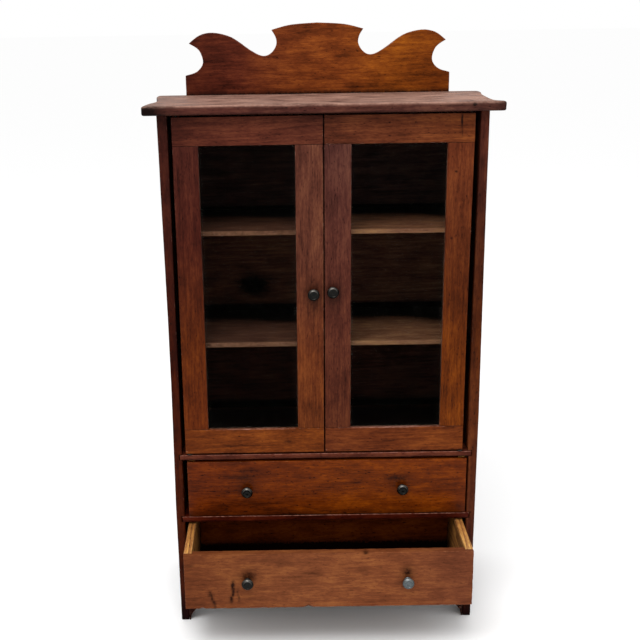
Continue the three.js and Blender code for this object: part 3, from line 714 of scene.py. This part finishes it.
# the same brass painted a flat, lighter cool grey, as the reflection of the sky that this knob shows
sky_reflecting_brass = aged_metal(
    "grey brass with painted sky reflection", base="#5a6062", rubbed="#9a9c9a", rust="#3a4144", rub_mm=1.6, roughness=0.4,
    pit_mm=1.2,
)
for owner, knob in (
    ("left_door", "left_door_knob"), ("right_door", "right_door_knob"),
    ("upper_drawer", "upper_drawer_left_knob"), ("upper_drawer", "upper_drawer_right_knob"),
    ("lower_drawer", "lower_drawer_left_knob"), ("lower_drawer", "lower_drawer_right_knob"),
):
    low, high = box_mm(knob)
    seat = ((low[0] + high[0]) / 2, low[1] + KNOB_HEIGHT, (low[2] + high[2]) / 2)
    # the lower drawer's right knob gets the grey brass with the sky's reflection painted into its colour
    finish = sky_reflecting_brass if knob == "lower_drawer_right_knob" else patinated_brass
    turned(
        f"{knob}_turned", rounded_profile(KNOB_PROFILE), [seat], (0, -1, 0), KNOB_RUBBED_SPOTS, 48,
        owner, finish, [knob], painted_top_highlight=0.3,
    )


# ---- the nails and washers ----
# Wire nails that each door turns on, sunk in the top board and the cabinet floor, with a steel
# washer under each door to take its weight, and small nails that hold the back boards. The steel is
# dark and dull, with rust specks and a faint gleam on the rims.
nail_steel = aged_metal(
    "dull nail steel", base="#262321", rubbed="#4d4945", rust="#2c1810", rub_mm=0.5, roughness=0.55,
    pit_mm=0.8,
)
WASHER_RING = [
    (1.35, 0.1), (1.45, 0), (2.9, 0), (3, 0.1), (3, 1.1), (2.9, 1.2), (1.45, 1.2), (1.35, 1.1), (1.35, 0.1),
]
for hand in ("left", "right"):
    for end in ("top", "bottom"):
        low, high = box_mm(f"{hand}_door_{end}_pin")
        length = high[2] - low[2]
        nail = [
            (0, 0), (0.5, 0), (1, 1.2), (1, length - 0.7), (1.7, length - 0.55), (1.7, length - 0.2),
            (1.4, length), (0, length),
        ]
        up = 1 if end == "top" else -1
        foot = (*((low + high) / 2)[:2], low[2] if up > 0 else high[2])
        turned(
            f"{hand}_door_{end}_nail", nail, [foot], (0, 0, up), [(1.5, length)], 24, "carcass",
            nail_steel, [f"{hand}_door_{end}_pin"],
        )
    low, high = box_mm(f"{hand}_door_washer")
    seat = (*((low + high) / 2)[:2], low[2])
    turned(
        f"{hand}_door_ring", WASHER_RING, [seat], (0, 0, 1), [(3, 1.2)], 32, "carcass", nail_steel,
        [f"{hand}_door_washer"],
    )
NAIL_HEAD = [(0, -2), (0.6, -1.8), (0.6, 0), (1.2, 0.05), (1.25, 0.2), (0.9, 0.42), (0, 0.5)]
HEAD_RIM = [(1, 0.4)]
NAIL_FROM_END_MM = 5
HAMMERED_ASTRAY_MM = 4
back_nails = []
for back in BACK_STAINS:
    low, high = box_mm(back)
    for share in (0.15, 0.5, 0.85):
        astray = chance.uniform(-HAMMERED_ASTRAY_MM, HAMMERED_ASTRAY_MM)
        height = low[2] + share * (high[2] - low[2]) + astray
        for x in (low[0] + NAIL_FROM_END_MM, high[0] - NAIL_FROM_END_MM):
            back_nails.append((x, high[1], height))
turned("back_board_nails", NAIL_HEAD, back_nails, (0, 1, 0), HEAD_RIM, 16, "carcass", nail_steel)


# ---- the drawers ----
# Pine boxes with hardwood fronts and backs, nailed through the sides into the front's rebates. The
# upper front keeps its shine; the lower one is flatter and lighter, scratched, gouged and chipped.
# Inside, painted shade darkens the pine towards the back, and each box low down at its back.
shining_front = weathered_wood(
    "shellacked drawer front", worn="#96603f", grime_and_shade="#120502", film="#8d746a", roughness=0.3, specular=0.06,
)
scuffed_front = weathered_wood(
    "scuffed drawer front", worn="#a0734f", grime_and_shade="#200c04", film="#9a8473", roughness=0.5, patch=0.8,
    streak=0.4, pore=0.5, ring=0.05, fleck=0.2, scratch=0.2,
)


def gouge(start, end, reach, amount, count):
    """A dark scrape between two places on a board's face, as marks in a row."""
    marks = []
    for i in range(count):
        place = np.array(start) + (np.array(end) - np.array(start)) * i / (count - 1)
        place[0] += chance.uniform(-0.003, 0.003)
        width = reach * chance.uniform(0.6, 1.2)
        marks.append(("soil", tuple(place), (width, 4, width * 1.8), amount * chance.uniform(0.6, 1.2)))
    return marks


# each front's finish, its stain from left to right, and its smudges, scrapes and figure; the smudges round
# and above the knobs are grime with the knobs' shade painted in
FRONTS = {
    "upper_drawer": (shining_front, [(0, "#5d270f"), (0.35, "#652c0f"), (0.6, "#6b3010"), (1, "#642c12")], [
        ("soil", (0.5, 0, 0), (400, 6, 5), 0.5), ("tone", (0.1, 0, 0.1), (60, 6, 12), -0.14),
        # these four marks are grime round the knobs, with the knobs' shade painted above them
        ("soil", (0.212, 0, 0.58), (9, 5, 9), 0.7), ("soil", (0.2, 0, 0.72), (13, 5, 3), 0.5),
        ("soil", (0.765, 0, 0.6), (9, 5, 8), 0.6), ("soil", (0.74, 0, 0.66), (12, 5, 2.5), 0.6),
        ("tone", (0.35, 0, 0.5), (22, 10, 9), -0.08), ("tone", (0.85, 0, 0.3), (40, 10, 12), 0.1),
        ("soil", (0.2, 0, 0.82), (3, 4, 1.6), 0.8), ("tone", (0.5, 0, 0.62), (60, 10, 4), 0.07),
        ("tone", (0.3, 0, 0.28), (40, 10, 3), -0.12), ("soil", (0.56, 0, 0.8), (5, 4, 1.2), 0.6),
    ]),
    "lower_drawer": (scuffed_front, [(0, "#6a3921"), (0.4, "#784429"), (0.7, "#784328"), (1, "#6d3c27")], [
        # these four marks are grime round the knobs, with the knobs' shade painted above them
        ("soil", (0.222, 0, 0.59), (6, 5, 5), 0.8), ("soil", (0.225, 0, 0.62), (9, 5, 8), 0.4),
        ("soil", (0.773, 0, 0.62), (4.5, 5, 5), 0.8), ("soil", (0.772, 0, 0.66), (6, 5, 8), 0.4),
        ("soil", (0.628, 0, 1), (2.5, 6, 2), 1.3), ("soil", (0.02, 0, 0.8), (4, 5, 1.5), 0.7),
        ("soil", (0.68, 0, 0.72), (1.6, 4, 1.6), 0.5),
        *gouge((0.17, 0, 0.48), (0.163, 0, 0.14), 1.7, 1.0, 7),
        *gouge((0.184, 0, 0.36), (0.188, 0, 0.15), 1.3, 0.6, 5),
        *gouge((0.088, 0, 0.28), (0.104, 0, 0.02), 1.5, 0.9, 6),
        ("tone", (0.43, 0, 0.64), (13, 6, 1.5), -0.3), ("tone", (0.37, 0, 0.57), (15, 6, 1.4), -0.24),
    ]),
}
CHIPS = {
    "upper_drawer": (),
    "lower_drawer": [((0.43, 0, 0), 2.8, 2.2), ((0.628, 0, 1), 2.2, 0.9), ((0.06, 0, 0), 2, 0.8)],
}
# the pine sides are painted darker towards the back, as the shade inside the drawer
PINE_BOX_COLOURS_AND_SHADE = {
    "left_side": ("y", [(0, "#b57c48"), (0.4, "#976337"), (1, "#714827")]),
    "right_side": ("y", [(0, "#bb8652"), (0.4, "#a16b3d"), (1, "#714827")]),
    "bottom": ("x", [(0, "#5c3b20"), (1, "#5c3b20")]),
}
NAIL_FROM_FRONT_MM = 1.9
PUNCHED_IN_MM = 0.35
for drawer, (finish, stain, marks) in FRONTS.items():
    board(
        f"{drawer}_front", drawer, finish, "x", stain, spacing=3, rub=0.4,
        marks=marks, dents=CHIPS[drawer], nibble=0.4,
    )
    for part, (along, pine_colour_and_shade) in PINE_BOX_COLOURS_AND_SHADE.items():
        board(
            f"{drawer}_{part}", drawer, bare_pine, along, pine_colour_and_shade, spacing=5,
            # painted shade: near black low down at the back of the box, where no light reaches
            marks=[("soil", (0.5, 0.95, 0), (400, 40, 16), 1.5)],
        )
    board(
        f"{drawer}_back", drawer, shellacked_hardwood, "x", [(0, "#6b3012"), (1, "#6b3012")],
        # painted shade over the back board's lower part
        spacing=5, rub=0.2, marks=[("soil", (0.5, 0, 0), (400, 20, 10), 4)],
    )
    for hand, facing in (("left", -1), ("right", 1)):
        low, high = box_mm(f"{drawer}_{hand}_side")
        outer = low[0] if facing < 0 else high[0]
        heights = [low[2] + share * (high[2] - low[2]) for share in (0.25, 0.75)]
        nails = [(outer - facing * PUNCHED_IN_MM, low[1] + NAIL_FROM_FRONT_MM, height) for height in heights]
        turned(
            f"{drawer}_{hand}_nails", NAIL_HEAD, nails, (facing, 0, 0), HEAD_RIM, 16, drawer,
            nail_steel,
        )


# ---- floor, light and camera ----
# A pale studio floor without an edge in sight, a white sky all round, and one large soft light
# above and in front.
FLOOR_HALF_WIDTH_M = 80
corner_signs = ((-1, -1), (1, -1), (1, 1), (-1, 1))
floor_corners = [(x * FLOOR_HALF_WIDTH_M, y * FLOOR_HALF_WIDTH_M, 0) for x, y in corner_signs]
floor_mesh = bpy.data.meshes.new("studio_floor")
floor_mesh.from_pydata(floor_corners, [], [(0, 1, 2, 3)])
paper = bpy.data.materials.new("pale studio floor")
paper.use_nodes = True
surface = paper.node_tree.nodes["Principled BSDF"]
surface.inputs["Base Color"].default_value = linear("#fdfdfd")
surface.inputs["Roughness"].default_value = 0.9
surface.inputs["Specular IOR Level"].default_value = 0
floor_mesh.materials.append(paper)
floor = bpy.data.objects.new("studio_floor", floor_mesh)
bpy.context.scene.collection.objects.link(floor)

world = bpy.data.worlds.new("white sky")
world.use_nodes = True
world.node_tree.nodes["Background"].inputs["Color"].default_value = linear("#ffffff")
world.node_tree.nodes["Background"].inputs["Strength"].default_value = 1.0
bpy.context.scene.world = world
bpy.context.scene.view_settings.view_transform = "Standard"

soft_light = bpy.data.lights.new("overhead softbox", "AREA")
soft_light.shape = "RECTANGLE"
soft_light.size = 1.0
soft_light.size_y = 0.7
soft_light.energy = 15
lamp = bpy.data.objects.new("overhead softbox", soft_light)
bpy.context.scene.collection.objects.link(lamp)
lamp.location = (-0.25, -0.75, 1.5)
lamp.rotation_euler = (Vector((0, 0, 0.3)) - lamp.location).to_track_quat("-Z", "Y").to_euler()

# a person standing close in front of it, looking slightly down
EYE_M = (-0.04145, -0.95004, 0.5957)
TILT_DEG = 74.116
ROLL_DEG = -0.898
camera = bpy.data.cameras.new("camera")
camera.lens = 56.25
camera.shift_x = 0.0603
camera.shift_y = -0.0156
viewer = bpy.data.objects.new("camera", camera)
bpy.context.scene.collection.objects.link(viewer)
tilt = Matrix.Rotation(math.radians(TILT_DEG), 4, "X")
roll = Matrix.Rotation(math.radians(ROLL_DEG), 4, "Z")
viewer.matrix_world = Matrix.Translation(EYE_M) @ tilt @ roll
bpy.context.scene.camera = viewer
